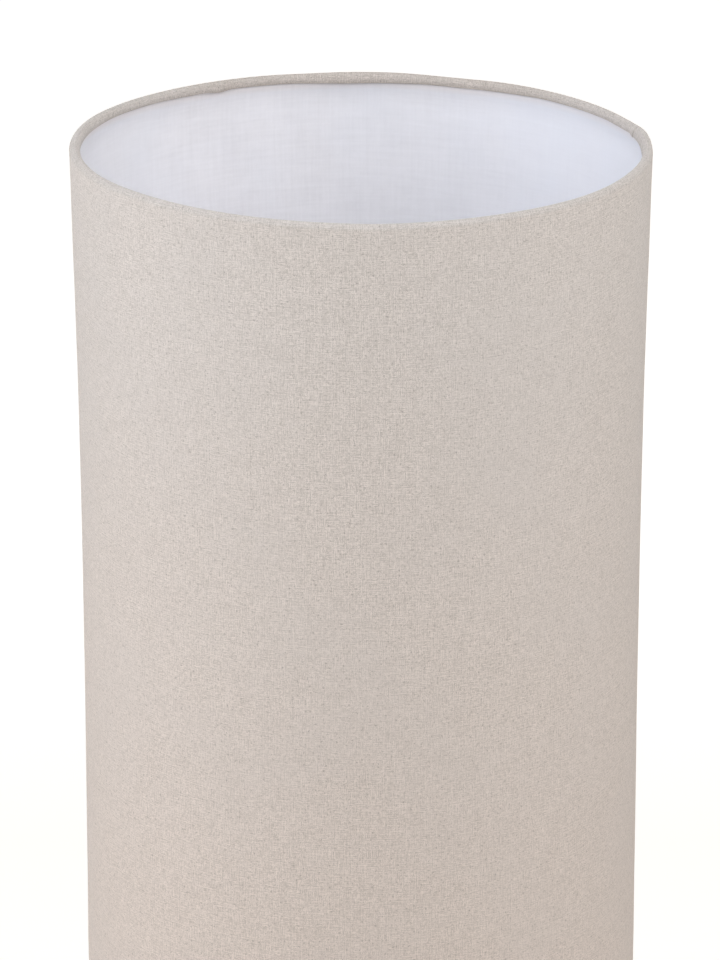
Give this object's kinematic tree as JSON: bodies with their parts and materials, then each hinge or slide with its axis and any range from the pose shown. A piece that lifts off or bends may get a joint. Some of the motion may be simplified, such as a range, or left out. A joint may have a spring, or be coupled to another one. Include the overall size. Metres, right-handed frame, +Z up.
{
  "type": "column floor lamp",
  "caption": "Tall cylindrical floor lamp: a full-height linen shade over wire hoops hangs from a slim stem with side-arm lampholders on a weighted round base.",
  "frame": {"origin": "on the floor under the middle of the base, which is also under the middle of the shade", "axes": "+Z up along the stem; -Y is the side that faces the viewer; +Y is the rear, with the cable inlet; +X is the viewer's right, where the lower lamp's arm points"},
  "size_m": [0.2499, 0.25, 1.15],
  "materials": {
    "linen": "plain woven oatmeal linen look, matt",
    "lining": "smooth white with a faint weave",
    "white_metal": "white powder coat, satin",
    "satin_nickel": "brushed satin nickel",
    "zinc_steel": "bright zinc plate",
    "brass": "plain",
    "cast_iron": "black lacquer",
    "pad_foam": "matt",
    "bush_rubber": "white, matt",
    "holder_plastic": "white moulded, satin",
    "bulb_plastic": "white moulded, satin",
    "bulb_insulator": "black",
    "opal_globe": "frosted opal",
    "lead_sheath": "white",
    "terminal_plastic": "natural white"
  },
  "bodies": {
    "stand": {"floor_pad": "pad_foam", "base_weight": "cast_iron", "base_cover": "satin_nickel", "cable_grommet": "bush_rubber", "base_washer": "zinc_steel", "base_nut": "zinc_steel", "base_nipple": "zinc_steel", "base_collar": "satin_nickel", "terminal_block": "terminal_plastic", "terminal_screws": "zinc_steel", "stem_lower": "white_metal", "stem_middle": "white_metal", "stem_upper": "white_metal", "tube_bushes": "zinc_steel", "branch_nipples": "zinc_steel", "lower_branch": "white_metal", "upper_branch": "white_metal", "lower_arm": "white_metal", "upper_arm": "white_metal", "arm_nuts": "zinc_steel", "lower_lead": "lead_sheath", "upper_lead": "lead_sheath", "carrier_seat": "white_metal", "top_stud": "zinc_steel", "lower_holder_cup": "holder_plastic", "lower_holder_skirt": "holder_plastic", "lower_holder_insert": "holder_plastic", "lower_screw_sleeve": "brass", "lower_centre_contact": "brass", "upper_holder_cup": "holder_plastic", "upper_holder_skirt": "holder_plastic", "upper_holder_insert": "holder_plastic", "upper_screw_sleeve": "brass", "upper_centre_contact": "brass"},
    "shade": {"shade_fabric": "linen", "shade_liner": "lining", "top_hoop": "white_metal", "middle_hoop": "white_metal", "bottom_hoop": "white_metal", "carrier_ring": "white_metal", "carrier_spokes": "white_metal", "carrier_hub": "white_metal"},
    "finial": {"finial": "satin_nickel"},
    "lower_bulb": {"lower_bulb_globe": "opal_globe", "lower_bulb_collar": "bulb_plastic", "lower_bulb_cap": "zinc_steel", "lower_bulb_base": "bulb_insulator"},
    "upper_bulb": {"upper_bulb_globe": "opal_globe", "upper_bulb_collar": "bulb_plastic", "upper_bulb_cap": "zinc_steel", "upper_bulb_base": "bulb_insulator"}
  },
  "joints": [
    {"name": "shade_lift", "type": "slide", "parent": "stand", "child": "shade", "axis": [0, 0, 1], "range_m": [0, 1.1]},
    {"name": "finial_turn", "type": "hinge", "parent": "shade", "child": "finial", "pos_m": [0, 0, 1.03], "axis": [0, 0, 1], "continuous": true},
    {"name": "lower_bulb_out", "type": "slide", "parent": "stand", "child": "lower_bulb", "axis": [0, 0, 1], "range_m": [0, 0.03]},
    {"name": "upper_bulb_out", "type": "slide", "parent": "stand", "child": "upper_bulb", "axis": [0, 0, 1], "range_m": [0, 0.03]}
  ]
}
